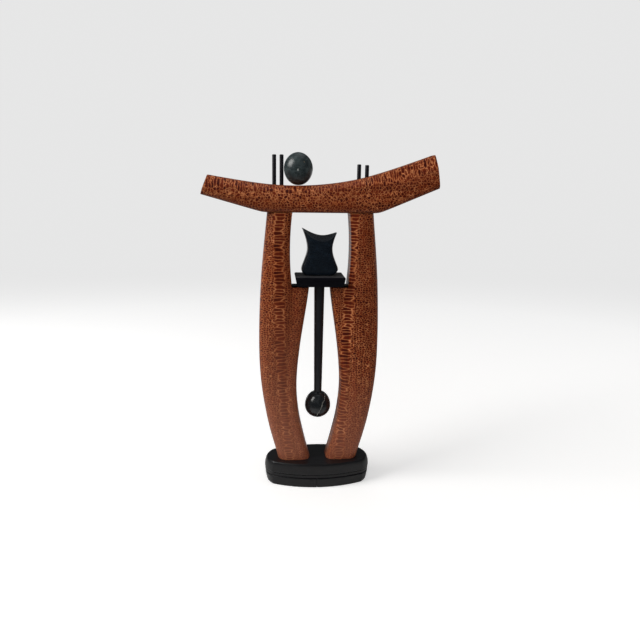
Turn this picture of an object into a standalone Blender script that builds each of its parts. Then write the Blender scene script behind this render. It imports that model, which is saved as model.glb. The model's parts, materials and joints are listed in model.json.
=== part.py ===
"""Gate-shaped tabletop sculpture: two bowed legs on a layered black base carry a hollowed crossbeam.

A polished stone rests in the beam's hollow between two pairs of posts, and a shelf between the
legs holds a saddle-topped stone with a tapered pendulum below it. Sizes below are in millimetres,
and new_object() turns them into metres. +X runs along the beam, -Y is the front and +Z is up.
The origin is at the middle of the object, on the surface that it stands on.
"""

import math

import bmesh
import bpy
from mathutils import Matrix

MM = 0.001
GAP = 0.3  # between two pieces that touch

# Base, from the bottom up
FELT_THICK = 1.5
FELT_RADIUS = 8.0
FELT_X, FELT_Y = 62.0, 17.0
PLINTH_LOW = 0.4
PLINTH_TOP = 17.0
BOARD_LOW = PLINTH_TOP + GAP
BOARD_TOP = 23.0
PLATE_LOW = BOARD_TOP + GAP
PLATE_TOP = 42.9
BASE_CORNER_X, BASE_CORNER_Y = 78.5, 27.0
BASE_END_X, BASE_FRONT_Y = 91.6, 43.4
SEAM_X, SEAM = -2.5, 0.8  # between the two halves of the plinth

# Legs: half the object, mirrored. Widths are distances from the middle plane.
LEG_LOW = PLATE_TOP + GAP
LEG_TOP = 465.0
LEDGE_Z = 344.2
OUTER_LINE = ((43.0, 68.8), (111.0, 86.3), (184.0, 97.5), (255.0, 100.2), (356.0, 96.5), (466.0, 86.0))
INNER_LINE = (
    (43.0, 13.5),
    (81.0, 23.5),
    (126.0, 32.9),
    (177.0, 37.0),
    (241.0, 32.0),
    (344.0, 17.2),
    (466.0, 8.0),
)
CREASE_LINE = ((43.0, 30.0), (130.0, 50.0), (200.0, 53.0), (258.0, 47.0), (344.0, 44.0), (466.0, 44.0))
NOTCH_MID_Z, NOTCH_MID_X = 405.0, 49.3
NOTCH_RADIUS = 520.0
COLUMN_DEPTH = ((43.0, 23.0), (150.0, 26.0), (300.0, 24.5), (466.0, 20.5))
STEP_DEPTH = ((43.0, 23.0), (150.0, 24.0), (250.0, 20.5), (344.0, 18.0), (466.0, 18.0))
LEG_RINGS = 24
LEG_SIDE_POINTS = 15

# Crossbeam
BEAM_LOW = LEG_TOP + GAP
BEAM_HALF_DEPTH = 25.0
BEAM_FLAT_HALF = 13.0
HOLLOW_X, HOLLOW_Z, HOLLOW_RADIUS = -43.3, 506.9, 478.0
HOLLOW_FROM, HOLLOW_TO = -84.0, 61.0
LEFT_TIP, LEFT_TIP_SLOPE = (-181.8, 522.3), -0.165
RIGHT_TIP, RIGHT_TIP_SLOPE = (187.2, 559.9), 0.375
SOFFIT_LEFT, SOFFIT_RIGHT = -92.3, 92.7
SOFFIT_LEFT_RISE, SOFFIT_RIGHT_RISE = 0.278, 0.421
LEFT_END_TOP, LEFT_END_LOW = (-178.4, 521.3), (-188.5, 492.5)
RIGHT_END_TOP, RIGHT_END_LOW = (180.3, 558.5), (188.4, 507.0)
CHAMFER = (
    (-190.0, 18.0),
    (-150.0, 12.0),
    (-100.0, 9.5),
    (0.0, 9.0),
    (60.0, 10.5),
    (100.0, 18.0),
    (135.0, 23.0),
    (190.0, 19.0),
)

# Posts
POST_RADIUS = 3.175  # quarter-inch rod
POST_HOLE = 14.0
POSTS = (
    ("post_left_outer", -74.4, 554.3),
    ("post_left_inner", -62.8, 554.4),
    ("post_right_inner", 61.0, 541.3),
    ("post_right_outer", 73.7, 540.4),
)

# Stones
STONE_HALF_X, STONE_HALF_Y, STONE_HALF_Z = 23.0, 22.0, 25.6
STONE_X = -36.2
BOB_Z, BOB_RADIUS, BOB_BELOW, BOB_ABOVE = 135.6, 22.0, 21.3, 26.0

# Shelf and pendulum
PAD_THICK, PAD_HALF_Y = 2.4, 11.0
PAD_LOW = LEDGE_Z + GAP
PAD_TOP = PAD_LOW + PAD_THICK
SHELF_LOW = PAD_TOP + GAP
SHELF_TOP = 363.3
SHELF_HALF_X, SHELF_HALF_Y = 40.5, 30.0
SHELF_TAPER = 3.0
SHELF_CHAMFER = 1.6
PIVOT_Z = 354.8
PIVOT_RADIUS = 1.5
PIVOT_FRONT, PIVOT_BACK = -16.0, 17.0
ROD_TOP, ROD_TOP_RADIUS = 359.2, 8.8
ROD_LOW, ROD_LOW_RADIUS = 152.0, 6.4
SOCKET_CLEARANCE = 1.1
SOCKET_ROOF = 360.4
STUD_RADIUS = 2.0

# Hidden joinery
DOWEL_X, DOWEL_RADIUS, DOWEL_LOW, DOWEL_HIGH = 68.0, 6.0, 441.0, 490.0
SCREW_X = (32.0, 54.0)
SCREW_HEAD_RADIUS, SCREW_SHANK_RADIUS, SCREW_TIP = 4.4, 2.25, 76.0
SHELF_DOWEL_X, SHELF_DOWEL_RADIUS, SHELF_DOWEL_LOW, SHELF_DOWEL_HIGH = 30.0, 2.5, 329.0, 355.0
SADDLE_PIN_X, SADDLE_PIN_RADIUS, SADDLE_PIN_LOW, SADDLE_PIN_HIGH = 16.5, 2.0, 353.0, 378.0


# ---------------------------------------------------------------- helpers


def spline(points, t):
    """A smooth curve through (t, value) points: cubic pieces with slopes from the neighbours."""
    t = min(max(t, points[0][0]), points[-1][0])
    k = 0
    while k < len(points) - 2 and t > points[k + 1][0]:
        k += 1

    def slope(n):
        low, high = max(n - 1, 0), min(n + 1, len(points) - 1)
        return (points[high][1] - points[low][1]) / (points[high][0] - points[low][0])

    (t0, v0), (t1, v1) = points[k], points[k + 1]
    span = t1 - t0
    s = (t - t0) / span
    a = 2 * s**3 - 3 * s**2 + 1
    b = s**3 - 2 * s**2 + s
    c = -2 * s**3 + 3 * s**2
    d = s**3 - s**2
    return a * v0 + b * span * slope(k) + c * v1 + d * span * slope(k + 1)


def material(name, colour, roughness, metallic=0.0):
    made = bpy.data.materials.new(name)
    made.use_nodes = True
    shader = made.node_tree.nodes["Principled BSDF"]
    shader.inputs["Base Color"].default_value = (*colour, 1.0)
    shader.inputs["Roughness"].default_value = roughness
    shader.inputs["Metallic"].default_value = metallic
    made.diffuse_color = (*colour, 1.0)
    return made


def new_object(name, bm, mat=None, smooth_angle=35.0, at=(0.0, 0.0, 0.0)):
    """A bmesh in millimetres becomes an object in metres, with its origin at the point `at`."""
    bmesh.ops.translate(bm, verts=bm.verts, vec=[-c for c in at])
    bmesh.ops.scale(bm, verts=bm.verts, vec=(MM, MM, MM))
    bmesh.ops.recalc_face_normals(bm, faces=bm.faces)
    mesh = bpy.data.meshes.new(name)
    bm.to_mesh(mesh)
    bm.free()
    obj = bpy.data.objects.new(name, mesh)
    obj.location = [c * MM for c in at]
    bpy.context.scene.collection.objects.link(obj)
    if mat:
        mesh.materials.append(mat)
    mesh.shade_smooth()
    mesh.set_sharp_from_angle(angle=math.radians(smooth_angle))
    return obj


def loft(rings):
    """A closed body through rings that all have the same number of points."""
    bm = bmesh.new()
    loops = [[bm.verts.new(p) for p in ring] for ring in rings]
    count = len(rings[0])
    for low, high in zip(loops, loops[1:]):
        for i in range(count):
            j = (i + 1) % count
            bm.faces.new((low[i], low[j], high[j], high[i]))
    bm.faces.new(list(reversed(loops[0])))
    bm.faces.new(loops[-1])
    return bm


def cylinder(radius, low, high, x=0.0, y=0.0, segments=24):
    """A round bar or a cone, upright at (x, y)."""
    bm = bmesh.new()
    bmesh.ops.create_cone(
        bm,
        cap_ends=True,
        segments=segments,
        radius1=radius,
        radius2=radius,
        depth=high - low,
    )
    bmesh.ops.translate(bm, verts=bm.verts, vec=(x, y, (low + high) / 2))
    return bm


def turned(profile, x=0.0, y=0.0, segments=24):
    """Turns (radius, z) points about the upright line at (x, y). A radius of 0 closes an end."""
    bm = bmesh.new()
    rows = []
    for radius, z in profile:
        if radius == 0:
            rows.append([bm.verts.new((x, y, z))])
            continue
        angles = [2 * math.pi * i / segments for i in range(segments)]
        rows.append([bm.verts.new((x + radius * math.cos(a), y + radius * math.sin(a), z)) for a in angles])
    for low, high in zip(rows, rows[1:]):
        for i in range(segments):
            j = (i + 1) % segments
            corners = [low[0]] if len(low) == 1 else [low[i], low[j]]
            corners += [high[0]] if len(high) == 1 else [high[j], high[i]]
            bm.faces.new(corners)
    for row in (rows[0], rows[-1]):
        if len(row) > 1:
            bm.faces.new(row)
    return bm


def pivot_bar(radius, front, back):
    """A round bar on the pendulum's pivot axis, from front to back."""
    bm = cylinder(radius, -back, -front, segments=16)
    bmesh.ops.rotate(bm, verts=bm.verts, matrix=Matrix.Rotation(math.radians(90.0), 3, "X"))
    bmesh.ops.translate(bm, verts=bm.verts, vec=(0.0, 0.0, PIVOT_Z))
    return bm


def box(low, high):
    bm = bmesh.new()
    bmesh.ops.create_cube(bm, size=1.0)
    bmesh.ops.scale(bm, verts=bm.verts, vec=[h - l for l, h in zip(low, high)])
    bmesh.ops.translate(bm, verts=bm.verts, vec=[(h + l) / 2 for l, h in zip(low, high)])
    return bm


def joined(pieces):
    """Several separate solids in one bmesh."""
    bm = bmesh.new()
    for piece in pieces:
        mesh = bpy.data.meshes.new("piece")
        piece.to_mesh(mesh)
        piece.free()
        bm.from_mesh(mesh)
        bpy.data.meshes.remove(mesh)
    return bm


def cut(obj, name, bm):
    """Takes the solid in bm out of obj."""
    cutter = new_object(name, bm)
    cutter.hide_render = True
    cutter.display_type = "WIRE"
    boolean = obj.modifiers.new(name, "BOOLEAN")
    boolean.operation = "DIFFERENCE"
    boolean.object = cutter


# ---------------------------------------------------------------- base


def barrel_outline(end_in, front_in, steps=10):
    """The base's plan: a rectangle whose four sides bow outwards. end_in and front_in draw the sides in."""
    corner_x, corner_y = BASE_CORNER_X - 0.5 * end_in, BASE_CORNER_Y - front_in
    end_x, front_y = BASE_END_X - end_in, BASE_FRONT_Y - front_in
    points = []

    def side(start, end, bulge):
        """A circular arc from start to end that bows out by bulge to the right of its direction."""
        dx, dy = end[0] - start[0], end[1] - start[1]
        chord = math.hypot(dx, dy)
        radius = (chord**2 / 4 + bulge**2) / (2 * bulge)
        nx, ny = dy / chord, -dx / chord
        mid = ((start[0] + end[0]) / 2, (start[1] + end[1]) / 2)
        centre = (mid[0] - nx * (radius - bulge), mid[1] - ny * (radius - bulge))
        half = math.asin(chord / 2 / radius)
        base = math.atan2(ny, nx)
        for i in range(steps):
            a = base - half + 2 * half * i / steps
            points.append((centre[0] + radius * math.cos(a), centre[1] + radius * math.sin(a)))

    side((-corner_x, -corner_y), (corner_x, -corner_y), front_y - corner_y)
    side((corner_x, -corner_y), (corner_x, corner_y), end_x - corner_x)
    side((corner_x, corner_y), (-corner_x, corner_y), front_y - corner_y)
    side((-corner_x, corner_y), (-corner_x, -corner_y), end_x - corner_x)
    return points


def layer(profile):
    """A board of the base. profile is (z, end_in, front_in) points up its edge."""
    return loft([[(x, y, z) for x, y in barrel_outline(*inset)] for z, *inset in profile])


def build_base(black, felt):
    plinth_edge = (
        (PLINTH_LOW, 4.6, 1.8),
        (PLINTH_LOW + 0.8, 3.8, 1.1),
        (9.0, 1.9, 0.8),
        (PLINTH_TOP - 0.8, 0.9, 0.7),
        (PLINTH_TOP, 1.6, 1.5),
    )
    spots = ((-1, -1, "front_left"), (1, -1, "front_right"), (-1, 1, "back_left"), (1, 1, "back_right"))
    recesses = [
        cylinder(FELT_RADIUS + GAP, -3.0, FELT_THICK + GAP, side * FELT_X, depth * FELT_Y)
        for side, depth, _ in spots
    ]
    for name, side in (("plinth_left", -1), ("plinth_right", 1)):
        half = new_object(name, layer(plinth_edge), black)
        low_x, high_x = sorted((SEAM_X - side * 120.0, SEAM_X + side * SEAM / 2))
        cut(half, name + "_seam_cut", box((low_x, -60.0, -5.0), (high_x, 60.0, 30.0)))
        cut(half, name + "_felt_recesses", joined([recess.copy() for recess in recesses]))

    board_edge = (
        (BOARD_LOW, 1.7, 2.2),
        (BOARD_LOW + 0.7, 0.9, 1.5),
        (BOARD_TOP - 0.7, 0.5, 1.5),
        (BOARD_TOP, 1.3, 2.2),
    )
    new_object("base_board", layer(board_edge), black)

    plate_edge = (
        (PLATE_LOW, 1.0, 1.0),
        (PLATE_LOW + 0.9, 0.2, 0.2),
        (28.0, 0.0, 0.0),
        (33.0, 0.5, 0.0),
        (38.0, 1.8, 0.2),
        (41.0, 3.2, 0.7),
        (42.3, 4.3, 1.6),
        (PLATE_TOP, 5.6, 2.8),
    )
    plate = new_object("base_plate", layer(plate_edge), black)
    holes = []
    for x in SCREW_X:
        for side in (-1, 1):
            holes.append(screw_shape(side * x, GAP, PLATE_LOW - 1.0, PLATE_TOP + 5.0))
    cut(plate, "base_plate_screw_holes", joined(holes))

    for side, depth, name in spots:
        pad = cylinder(FELT_RADIUS, 0.0, FELT_THICK, side * FELT_X, depth * FELT_Y)
        new_object("felt_pad_" + name, pad, felt)


def screw_shape(x, grow, low, high):
    """A countersunk wood screw, head down, or its hole when grow is more than 0."""
    head = PLATE_LOW + 0.4
    shank = SCREW_SHANK_RADIUS + grow
    rim = SCREW_HEAD_RADIUS + grow
    taper = rim - shank
    return turned([(rim, low), (rim, head + 1.0), (shank, head + 1.0 + taper), (shank, high)], x, segments=16)


def build_screws(steel):
    for side, leg in ((-1, "left"), (1, "right")):
        for x, place in zip(SCREW_X, ("inner", "outer")):
            screw = screw_shape(side * x, 0.0, PLATE_LOW + 0.4, SCREW_TIP)
            new_object(f"screw_{leg}_{place}", screw, steel)


# ---------------------------------------------------------------- legs


def superellipse(u, power):
    return max(0.0, 1.0 - abs(u) ** power) ** (1.0 / power)


def leg_half_depth(x, z):
    """How far the leg's front stands from its middle plane, at a distance x from the middle, height z."""
    inner, outer = spline(INNER_LINE, z), spline(OUTER_LINE, z)
    crease = spline(CREASE_LINE, z) if z < LEDGE_Z else notch_x(z) - 0.5
    middle = crease + 0.5 * (outer - crease)
    if x >= middle:
        column = superellipse((x - middle) / (outer - middle), 2.5)
    else:
        column = superellipse((middle - x) / (middle - crease), 3.2)
    column *= spline(COLUMN_DEPTH, z)
    step_outer = crease + 0.45 * (outer - crease)
    step_middle = inner + 0.55 * (step_outer - inner)
    if x >= step_middle:
        step = superellipse((x - step_middle) / (step_outer - step_middle), 2.5)
    else:
        step = superellipse((step_middle - x) / (step_middle - inner), 3.2)
    step *= spline(STEP_DEPTH, z)
    return (column**8 + step**8) ** 0.125


def notch_x(z):
    """The face of the cut-out above the ledge, bowed away from the middle."""
    return NOTCH_MID_X - NOTCH_RADIUS + math.sqrt(NOTCH_RADIUS**2 - (z - NOTCH_MID_Z) ** 2)


def leg_ring(z, side):
    inner, outer = spline(INNER_LINE, z), spline(OUTER_LINE, z)
    front, back = [], []
    for i in range(LEG_SIDE_POINTS + 1):
        share = 0.5 - 0.5 * math.cos(math.pi * i / LEG_SIDE_POINTS)
        x = inner + share * (outer - inner)
        depth = leg_half_depth(x, z)
        if 0 < i < LEG_SIDE_POINTS:
            front.append((side * x, -depth, z))
            back.append((side * x, depth, z))
        else:
            front.append((side * x, 0.0, z))
    return front + list(reversed(back))


def build_legs(wood, pad):
    for name, side in (("left", -1), ("right", 1)):
        heights = [LEG_LOW + (LEG_TOP - LEG_LOW) * i / LEG_RINGS for i in range(LEG_RINGS + 1)]
        leg = new_object("leg_" + name, loft([leg_ring(z, side) for z in heights]), wood, 40.0)
        rise = [LEDGE_Z + (LEG_TOP + 4.0 - LEDGE_Z) * i / 10 for i in range(11)]
        face = [(side * notch_x(z), z) for z in rise]
        outline = face + [(-side * 10.0, rise[-1]), (-side * 10.0, rise[0])]
        notch = loft([[(x, y, z) for x, z in outline] for y in (-40.0, 40.0)])
        cut(leg, f"leg_{name}_notch", notch)
        holes = [cylinder(DOWEL_RADIUS + GAP, DOWEL_LOW - 1.0, LEG_TOP + 5.0, side * DOWEL_X)]
        holes += [cylinder(SCREW_SHANK_RADIUS + GAP, LEG_LOW - 5.0, SCREW_TIP + 1.0, side * x) for x in SCREW_X]
        dowel = (SHELF_DOWEL_RADIUS + GAP, SHELF_DOWEL_LOW - 1.0, LEDGE_Z + 5.0, side * SHELF_DOWEL_X)
        holes.append(cylinder(*dowel, segments=16))
        cut(leg, f"leg_{name}_holes", joined(holes))

        inner_x, outer_x = spline(INNER_LINE, LEDGE_Z) + 1.5, notch_x(LEDGE_Z) - GAP
        low_x, high_x = sorted((side * inner_x, side * outer_x))
        block = box((low_x, -PAD_HALF_Y, PAD_LOW), (high_x, PAD_HALF_Y, PAD_TOP))
        rest = new_object("ledge_pad_" + name, block, pad)
        dowel_x = side * SHELF_DOWEL_X
        hole = cylinder(SHELF_DOWEL_RADIUS + GAP, PAD_LOW - 2, PAD_TOP + 2, dowel_x, segments=16)
        cut(rest, f"ledge_pad_{name}_hole", hole)


# ---------------------------------------------------------------- crossbeam


def bezier(start, start_slope, end, end_slope, x):
    """The height at x on a quadratic curve with the given slope at each end."""
    knee_x = (end[1] - start[1] + start_slope * start[0] - end_slope * end[0]) / (start_slope - end_slope)
    knee_z = start[1] + start_slope * (knee_x - start[0])
    a = start[0] - 2 * knee_x + end[0]
    b = 2 * (knee_x - start[0])
    c = start[0] - x
    t = (-b + math.copysign(math.sqrt(b * b - 4 * a * c), b)) / (2 * a)
    return (1 - t) ** 2 * start[1] + 2 * t * (1 - t) * knee_z + t * t * end[1]


def hollow(x):
    """Height and slope of the round hollow that the stone rests in."""
    drop = math.sqrt(HOLLOW_RADIUS**2 - (x - HOLLOW_X) ** 2)
    return HOLLOW_Z + HOLLOW_RADIUS - drop, (x - HOLLOW_X) / drop


def beam_top(x):
    if x < HOLLOW_FROM:
        z, slope = hollow(HOLLOW_FROM)
        if x < LEFT_TIP[0]:
            return LEFT_TIP[1] + LEFT_TIP_SLOPE * (x - LEFT_TIP[0])
        return bezier((HOLLOW_FROM, z), slope, LEFT_TIP, LEFT_TIP_SLOPE, x)
    if x > HOLLOW_TO:
        z, slope = hollow(HOLLOW_TO)
        if x > RIGHT_TIP[0]:
            return RIGHT_TIP[1] + RIGHT_TIP_SLOPE * (x - RIGHT_TIP[0])
        return bezier((HOLLOW_TO, z), slope, RIGHT_TIP, RIGHT_TIP_SLOPE, x)
    return hollow(x)[0]


def beam_low(x):
    """The underside: level over the legs, then rising to each tip with a soft bend between."""
    rise = 0.0
    for knee, slope in ((SOFFIT_LEFT - x, SOFFIT_LEFT_RISE), (x - SOFFIT_RIGHT, SOFFIT_RIGHT_RISE)):
        rise += slope * 0.5 * (knee + math.sqrt(knee * knee + 36.0)) if knee > -40.0 else 0.0
    return BEAM_LOW + max(0.0, rise - 0.1)


def beam_ring(x):
    """The beam's section at x: chamfered along its top edges, with a crowned face."""
    top, low = beam_top(x), beam_low(x)
    chamfer = spline(CHAMFER, x)
    wide, flat = BEAM_HALF_DEPTH, BEAM_FLAT_HALF
    shoulder = top - chamfer
    waist = (shoulder + low) / 2
    half = [
        (0.0, top),
        (flat - 2.0, top),
        (flat + 1.5, top - 0.12 * chamfer),
        (wide - 2.5, shoulder + 0.14 * chamfer),
        (wide - 0.6, shoulder - 1.5),
        (wide, waist + 2.0),
        (wide - 0.5, low + 8.0),
        (wide - 2.2, low + 3.0),
        (wide - 6.0, low),
        (0.0, low),
    ]
    front = [(x, -y, z) for y, z in half]
    back = [(x, y, z) for y, z in reversed(half[1:-1])]
    return front + back


def slice_end(bm, top, low, side):
    """Cuts the beam off square across its depth, along the line from top to low."""
    run, fall = low[0] - top[0], low[1] - top[1]
    normal = (-fall * side, 0.0, run * side)
    if normal[0] * side < 0:
        normal = tuple(-n for n in normal)
    everything = bm.verts[:] + bm.edges[:] + bm.faces[:]
    bmesh.ops.bisect_plane(
        bm, geom=everything, plane_co=(top[0], 0.0, top[1]), plane_no=normal, clear_outer=True
    )
    open_edges = [e for e in bm.edges if e.is_boundary]
    bmesh.ops.holes_fill(bm, edges=open_edges)


def build_beam(wood, black, birch):
    stations = [-200.0 + 400.0 * i / 50 for i in range(51)]
    bm = loft([beam_ring(x) for x in stations])
    slice_end(bm, LEFT_END_TOP, LEFT_END_LOW, -1)
    slice_end(bm, RIGHT_END_TOP, RIGHT_END_LOW, 1)
    beam = new_object("crossbeam", bm, wood, 20.0)
    holes = [
        cylinder(DOWEL_RADIUS + GAP, BEAM_LOW - 5.0, DOWEL_HIGH + 1.0, side * DOWEL_X) for side in (-1, 1)
    ]
    for name, x, top in POSTS:
        floor = beam_top(x) - POST_HOLE
        holes.append(cylinder(POST_RADIUS + GAP, floor - 1.0, beam_top(x) + 20.0, x))
        edge = POST_RADIUS - 1.0
        profile = [(POST_RADIUS, floor), (POST_RADIUS, top - 2.0), (edge, top - 0.4), (1.0, top), (0, top)]
        new_object(name, turned(profile, x), black)
    cut(beam, "crossbeam_holes", joined(holes))
    for name, side in (("left", -1), ("right", 1)):
        new_object("beam_dowel_" + name, cylinder(DOWEL_RADIUS, DOWEL_LOW, DOWEL_HIGH, side * DOWEL_X), birch)


# ---------------------------------------------------------------- stones


def build_rolling_stone(stone):
    bm = bmesh.new()
    bmesh.ops.create_uvsphere(bm, u_segments=32, v_segments=18, radius=1.0)
    bmesh.ops.scale(bm, verts=bm.verts, vec=(STONE_HALF_X, STONE_HALF_Y, STONE_HALF_Z))
    centre = (STONE_X, 0.0, beam_top(STONE_X) + GAP + STONE_HALF_Z)
    bmesh.ops.translate(bm, verts=bm.verts, vec=centre)
    pivot = (HOLLOW_X, 0.0, HOLLOW_Z + HOLLOW_RADIUS)
    new_object("rolling_stone", bm, stone, 60.0, at=pivot)


def bob_profile():
    """From the bottom up: round below, drawn towards the rod above."""
    points = [(0, BOB_Z - BOB_BELOW)]
    for i in range(1, 9):
        a = math.radians(90.0 * i / 8)
        points.append((BOB_RADIUS * math.sin(a), BOB_Z - BOB_BELOW * math.cos(a)))
    for i in range(1, 8):
        a = math.radians(90.0 * i / 8)
        points.append((BOB_RADIUS * math.cos(a) ** 0.94, BOB_Z + BOB_ABOVE * math.sin(a)))
    points.append((0, BOB_Z + BOB_ABOVE))
    return points


def rod_radius(z):
    share = (z - ROD_LOW) / (ROD_TOP - ROD_LOW)
    return ROD_LOW_RADIUS + share * (ROD_TOP_RADIUS - ROD_LOW_RADIUS)


def build_pendulum(black, stone, brass):
    pivot = (0.0, 0.0, PIVOT_Z)
    ends = [(ROD_LOW_RADIUS - 0.8, ROD_LOW), (rod_radius(ROD_LOW + 0.8), ROD_LOW + 0.8)]
    ends += [(rod_radius(ROD_TOP - 1.5), ROD_TOP - 1.5), (ROD_TOP_RADIUS - 1.5, ROD_TOP)]
    rod = new_object("pendulum_rod", turned(ends, 0.0, segments=32), black, at=pivot)
    cross = pivot_bar(PIVOT_RADIUS + GAP, -20.0, 20.0)
    stud_top = ROD_LOW + 15.0
    stud_hole = cylinder(STUD_RADIUS + GAP, ROD_LOW - 5.0, stud_top + 0.5, 0.0, segments=16)
    cut(rod, "pendulum_rod_holes", joined([cross, stud_hole]))

    bob = new_object("pendulum_bob", turned(bob_profile(), 0.0, segments=32), stone, 60.0, at=pivot)
    stud_low = ROD_LOW - 16.0
    socket = [(STUD_RADIUS + GAP, stud_low - 0.5), (STUD_RADIUS + GAP, ROD_LOW - GAP)]
    socket += [(ROD_LOW_RADIUS + GAP, ROD_LOW - GAP), (ROD_LOW_RADIUS + 0.6, BOB_Z + BOB_ABOVE + 5.0)]
    cut(bob, "pendulum_bob_socket", turned(socket, 0.0, segments=32))
    new_object("bob_stud", cylinder(STUD_RADIUS, stud_low, stud_top, 0.0, segments=16), brass, at=pivot)


SADDLE_LINE = (  # half widths from the foot to the tips of the horns, left and right
    (0.0, 24.0, 23.4),
    (3.5, 27.6, 27.2),
    (9.0, 30.1, 30.4),
    (14.0, 29.3, 29.4),
    (24.0, 25.6, 25.4),
    (34.0, 22.2, 22.0),
    (42.0, 20.8, 20.8),
    (50.0, 21.2, 21.3),
    (60.0, 23.4, 23.9),
    (69.0, 26.5, 27.3),
    (77.5, 29.8, 29.8),
)
SADDLE_X = -0.3
SADDLE_HALF_DEPTH = 13.0
SADDLE_DIP, SADDLE_DIP_ACROSS, SADDLE_SWEEP = 64.2, 0.21, 8.6  # the back rim is a parabola
SADDLE_LIP = 8.6  # how much lower the front rim is


def saddle_half_width(height, side):
    column = 1 if side < 0 else 2
    return spline([(row[0], row[column]) for row in SADDLE_LINE], height)


def saddle_ring(share):
    """A section of the stone: share runs from 0 at its foot to 1 at its hollowed top."""
    ring = []
    steps = 12
    for face in (-1, 1):
        for i in range(steps + 1):
            across = -face * (1.0 - 2.0 * i / steps)
            top = SADDLE_DIP + SADDLE_SWEEP * (across - SADDLE_DIP_ACROSS) ** 2
            if face < 0:
                top -= SADDLE_LIP * (1.0 - across**6)
            height = share * top
            half = saddle_half_width(height, -1 if across < 0 else 1)
            taper = 1.0 if height > 8.0 else 0.80 + 0.20 * math.sqrt(1.0 - (1.0 - height / 8.0) ** 2)
            depth = SADDLE_HALF_DEPTH * taper * (0.34 + 0.66 * superellipse(across, 3.4))
            ring.append((SADDLE_X + across * half, face * depth, SHELF_TOP + GAP + height))
    return ring


def build_saddle_stone(stone, steel):
    shares = (0.0, 0.05, 0.10, 0.16, 0.26, 0.38, 0.5, 0.62, 0.74, 0.85, 0.93, 1.0)
    rings = [saddle_ring(share) for share in shares]
    bm = bmesh.new()
    loops = [[bm.verts.new(p) for p in ring] for ring in rings]
    count = len(rings[0])
    for low, high in zip(loops, loops[1:]):
        for i in range(count):
            j = (i + 1) % count
            bm.faces.new((low[i], low[j], high[j], high[i]))
    half = count // 2
    for row in (loops[0], loops[-1]):
        for i in range(half - 1):
            bm.faces.new((row[i], row[i + 1], row[count - 2 - i], row[count - 1 - i]))
    made = new_object("saddle_stone", bm, stone, 50.0)
    pin_holes = [
        cylinder(SADDLE_PIN_RADIUS + GAP, SHELF_TOP - 5.0, SADDLE_PIN_HIGH + 0.5, SADDLE_X + x, segments=16)
        for x in (-SADDLE_PIN_X, SADDLE_PIN_X)
    ]
    cut(made, "saddle_stone_pin_holes", joined(pin_holes))
    for name, x in (("left", SADDLE_X - SADDLE_PIN_X), ("right", SADDLE_X + SADDLE_PIN_X)):
        pin = cylinder(SADDLE_PIN_RADIUS, SADDLE_PIN_LOW, SADDLE_PIN_HIGH, x, segments=16)
        new_object("saddle_pin_" + name, pin, steel)


# ---------------------------------------------------------------- shelf


def shelf_ring(z, grow):
    x, y = SHELF_HALF_X + grow, SHELF_HALF_Y + grow
    return [(-x, -y, z), (x, -y, z), (x, y, z), (-x, y, z)]


def build_shelf(black, steel, birch):
    edge = [
        shelf_ring(SHELF_LOW, -SHELF_TAPER),
        shelf_ring(SHELF_TOP - SHELF_CHAMFER, 0.0),
        shelf_ring(SHELF_TOP, -SHELF_CHAMFER),
    ]
    shelf = new_object("shelf", loft(edge), black)
    holes = [cylinder(ROD_TOP_RADIUS + SOCKET_CLEARANCE, SHELF_LOW - 5.0, SOCKET_ROOF, 0.0, segments=32)]
    for x in (-SHELF_DOWEL_X, SHELF_DOWEL_X):
        dowel = (SHELF_DOWEL_RADIUS + GAP, SHELF_LOW - 5.0, SHELF_DOWEL_HIGH + 0.5, x)
        holes.append(cylinder(*dowel, segments=16))
    for x in (-SADDLE_PIN_X, SADDLE_PIN_X):
        pin = (SADDLE_PIN_RADIUS + GAP, SADDLE_PIN_LOW - 0.5, SHELF_TOP + 5.0, SADDLE_X + x)
        holes.append(cylinder(*pin, segments=16))
    cut(shelf, "shelf_holes", joined(holes))
    cut(shelf, "shelf_pivot_bore", pivot_bar(PIVOT_RADIUS + GAP, PIVOT_FRONT - 0.5, 40.0))

    for name, low, high, mat in (
        ("pivot_pin", PIVOT_FRONT, PIVOT_BACK, steel),
        ("pivot_plug", PIVOT_BACK + GAP, SHELF_HALF_Y - 1.9, black),
    ):
        new_object(name, pivot_bar(PIVOT_RADIUS, low, high), mat)

    for name, x in (("left", -SHELF_DOWEL_X), ("right", SHELF_DOWEL_X)):
        dowel = cylinder(SHELF_DOWEL_RADIUS, SHELF_DOWEL_LOW, SHELF_DOWEL_HIGH, x, segments=16)
        new_object("shelf_dowel_" + name, dowel, birch)


def build():
    for obj in list(bpy.data.objects):
        bpy.data.objects.remove(obj)
    wood = material("leopardwood", (0.30, 0.085, 0.030), 0.35)
    black = material("ebonised_wood", (0.012, 0.012, 0.014), 0.35)
    stone = material("dark_stone", (0.022, 0.028, 0.030), 0.25)
    felt = material("felt", (0.02, 0.02, 0.02), 0.95)
    steel = material("steel", (0.55, 0.55, 0.56), 0.35, 1.0)
    brass = material("brass", (0.70, 0.52, 0.22), 0.35, 1.0)
    birch = material("dowel_birch", (0.62, 0.46, 0.28), 0.7)
    build_base(black, felt)
    build_screws(steel)
    build_legs(wood, black)
    build_beam(wood, black, birch)
    build_rolling_stone(stone)
    build_pendulum(black, stone, brass)
    build_shelf(black, steel, birch)
    build_saddle_stone(stone, steel)


build()
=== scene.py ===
"""Looks for the gate-shaped sculpture: fine visible meshes, procedural materials, light and camera.

Lengths in the shape functions are in millimetres, as in the CAD source; make() turns them into metres.
"""

import json
import math

import bmesh
import bpy
from mathutils import Matrix, Vector


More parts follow.
